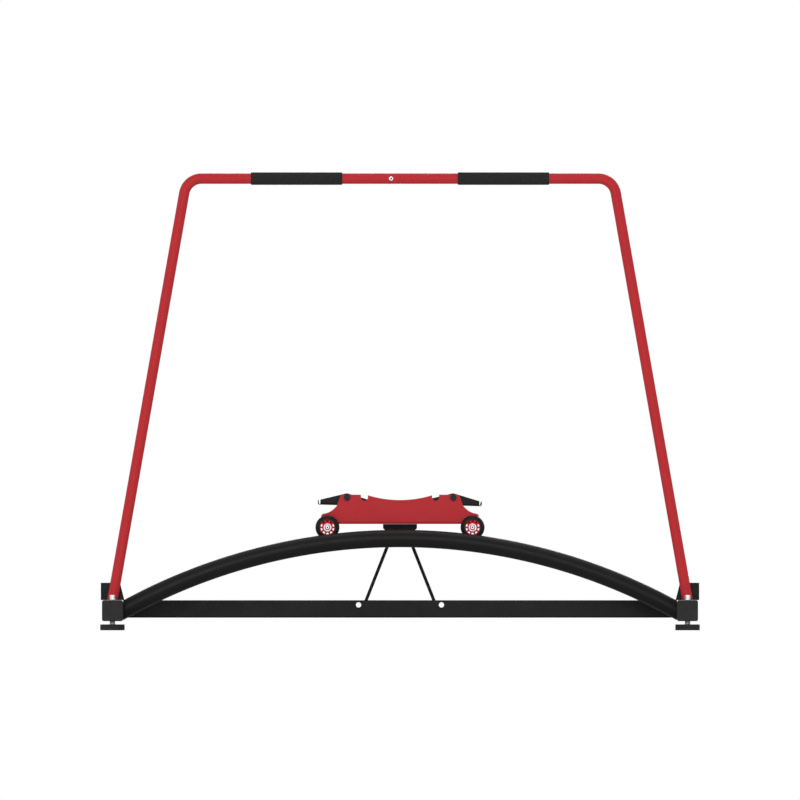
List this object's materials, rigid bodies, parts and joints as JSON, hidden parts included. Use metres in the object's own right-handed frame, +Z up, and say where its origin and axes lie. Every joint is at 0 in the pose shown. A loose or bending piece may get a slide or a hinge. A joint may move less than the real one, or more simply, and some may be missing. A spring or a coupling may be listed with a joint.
{
  "type": "arc rail ski trainer",
  "caption": "Arc-rail ski trainer: a wheeled carriage with rocking pedals runs over arched rails under a fixed handle frame, returned by elastic cords.",
  "frame": {"origin": "on the floor, under the middle of the machine, midway between the crossbars and between their ends", "axes": "+X along the carriage's travel, to the right seen from the handle side; +Y from the handle side to the far side; +Z up"},
  "size_m": [1.7132, 0.6006, 1.3085],
  "materials": {
    "black_powder_coat": "satin black powder coat",
    "red_powder_coat": "satin red powder coat",
    "zinc_plate": "bright zinc plate",
    "black_oxide": "dark bolt finish",
    "black_foam": "soft matt foam",
    "black_plastic": "moulded, fine grain",
    "black_urethane": "smooth cast tyre",
    "red_nylon": "moulded, semi-gloss",
    "black_braid": "braided sheath with grey flecks",
    "tread_rubber": "ribbed matt rubber"
  },
  "bodies": {
    "base": {"front_rail": "black_powder_coat", "rear_rail": "black_powder_coat", "base_beam": "black_powder_coat", "handle_joint_sleeve": "zinc_plate", "handle_joint_screw": "zinc_plate", "left_crossbar": "black_powder_coat", "left_cord": "black_braid", "left_handle_tube": "red_powder_coat", "left_grip": "black_foam", "left_handle_bracket": "black_powder_coat", "left_leg_bolt_lower": "zinc_plate", "left_leg_bolt_upper": "zinc_plate", "left_front_cap": "black_plastic", "left_rear_cap": "black_plastic", "right_crossbar": "black_powder_coat", "right_cord": "black_braid", "right_handle_tube": "red_powder_coat", "right_grip": "black_foam", "right_handle_bracket": "black_powder_coat", "right_leg_bolt_lower": "zinc_plate", "right_leg_bolt_upper": "zinc_plate", "right_front_cap": "black_plastic", "right_rear_cap": "black_plastic"},
    "carriage": {"carriage_frame": "red_powder_coat", "cord_block": "black_plastic", "left_cord_stop": "zinc_plate", "left_front_wheel_axle": "zinc_plate", "left_front_pivot_bolt": "black_oxide", "left_rear_wheel_axle": "zinc_plate", "left_rear_pivot_bolt": "black_oxide", "right_cord_stop": "zinc_plate", "right_front_wheel_axle": "zinc_plate", "right_front_pivot_bolt": "black_oxide", "right_rear_wheel_axle": "zinc_plate", "right_rear_pivot_bolt": "black_oxide"},
    "left_pedal": {"left_pedal_pan": "black_powder_coat", "left_pedal_tread": "tread_rubber"},
    "left_front_foot": {"left_front_foot_pad": "black_plastic", "left_front_foot_screw": "zinc_plate"},
    "left_front_wheel": {"left_front_tyre": "black_urethane", "left_front_hub": "red_nylon", "left_front_wheel_bearing": "zinc_plate"},
    "left_rear_foot": {"left_rear_foot_pad": "black_plastic", "left_rear_foot_screw": "zinc_plate"},
    "left_rear_wheel": {"left_rear_tyre": "black_urethane", "left_rear_hub": "red_nylon", "left_rear_wheel_bearing": "zinc_plate"},
    "right_pedal": {"right_pedal_pan": "black_powder_coat", "right_pedal_tread": "tread_rubber"},
    "right_front_foot": {"right_front_foot_pad": "black_plastic", "right_front_foot_screw": "zinc_plate"},
    "right_front_wheel": {"right_front_tyre": "black_urethane", "right_front_hub": "red_nylon", "right_front_wheel_bearing": "zinc_plate"},
    "right_rear_foot": {"right_rear_foot_pad": "black_plastic", "right_rear_foot_screw": "zinc_plate"},
    "right_rear_wheel": {"right_rear_tyre": "black_urethane", "right_rear_hub": "red_nylon", "right_rear_wheel_bearing": "zinc_plate"}
  },
  "joints": [
    {"name": "carriage_travel", "type": "hinge", "parent": "base", "child": "carriage", "pos_m": [0, 0, -1.36631], "axis": [0, 1, 0], "range_deg": [-17, 17], "stiffness_Nm_per_rad": 600, "deforming": ["left_cord", "right_cord"]},
    {"name": "left_pedal_tilt", "type": "hinge", "parent": "carriage", "child": "left_pedal", "pos_m": [-0.1517, 0, 0.3794], "axis": [0, 1, 0], "range_deg": [-21.75, 18.25]},
    {"name": "left_front_foot_height", "type": "slide", "parent": "base", "child": "left_front_foot", "axis": [0, 0, 1], "range_m": [-0.014, 0.008]},
    {"name": "left_front_wheel_spin", "type": "hinge", "parent": "carriage", "child": "left_front_wheel", "pos_m": [-0.2074, -0.17517, 0.294], "axis": [0, 1, 0], "range_deg": [-950, 950]},
    {"name": "left_rear_foot_height", "type": "slide", "parent": "base", "child": "left_rear_foot", "axis": [0, 0, 1], "range_m": [-0.014, 0.008]},
    {"name": "left_rear_wheel_spin", "type": "hinge", "parent": "carriage", "child": "left_rear_wheel", "pos_m": [-0.2074, 0.17517, 0.294], "axis": [0, 1, 0], "range_deg": [-950, 950]},
    {"name": "right_pedal_tilt", "type": "hinge", "parent": "carriage", "child": "right_pedal", "pos_m": [0.1517, 0, 0.3794], "axis": [0, 1, 0], "range_deg": [-21.75, 18.25]},
    {"name": "right_front_foot_height", "type": "slide", "parent": "base", "child": "right_front_foot", "axis": [0, 0, 1], "range_m": [-0.014, 0.008]},
    {"name": "right_front_wheel_spin", "type": "hinge", "parent": "carriage", "child": "right_front_wheel", "pos_m": [0.2074, -0.17517, 0.294], "axis": [0, 1, 0], "range_deg": [-950, 950]},
    {"name": "right_rear_foot_height", "type": "slide", "parent": "base", "child": "right_rear_foot", "axis": [0, 0, 1], "range_m": [-0.014, 0.008]},
    {"name": "right_rear_wheel_spin", "type": "hinge", "parent": "carriage", "child": "right_rear_wheel", "pos_m": [0.2074, 0.17517, 0.294], "axis": [0, 1, 0], "range_deg": [-950, 950]}
  ],
  "couplings": [
    {"joint": "left_front_wheel_spin", "follows": "carriage_travel", "ratio": 55.534},
    {"joint": "left_rear_wheel_spin", "follows": "carriage_travel", "ratio": 55.534},
    {"joint": "right_front_wheel_spin", "follows": "carriage_travel", "ratio": 55.534},
    {"joint": "right_rear_wheel_spin", "follows": "carriage_travel", "ratio": 55.534}
  ]
}
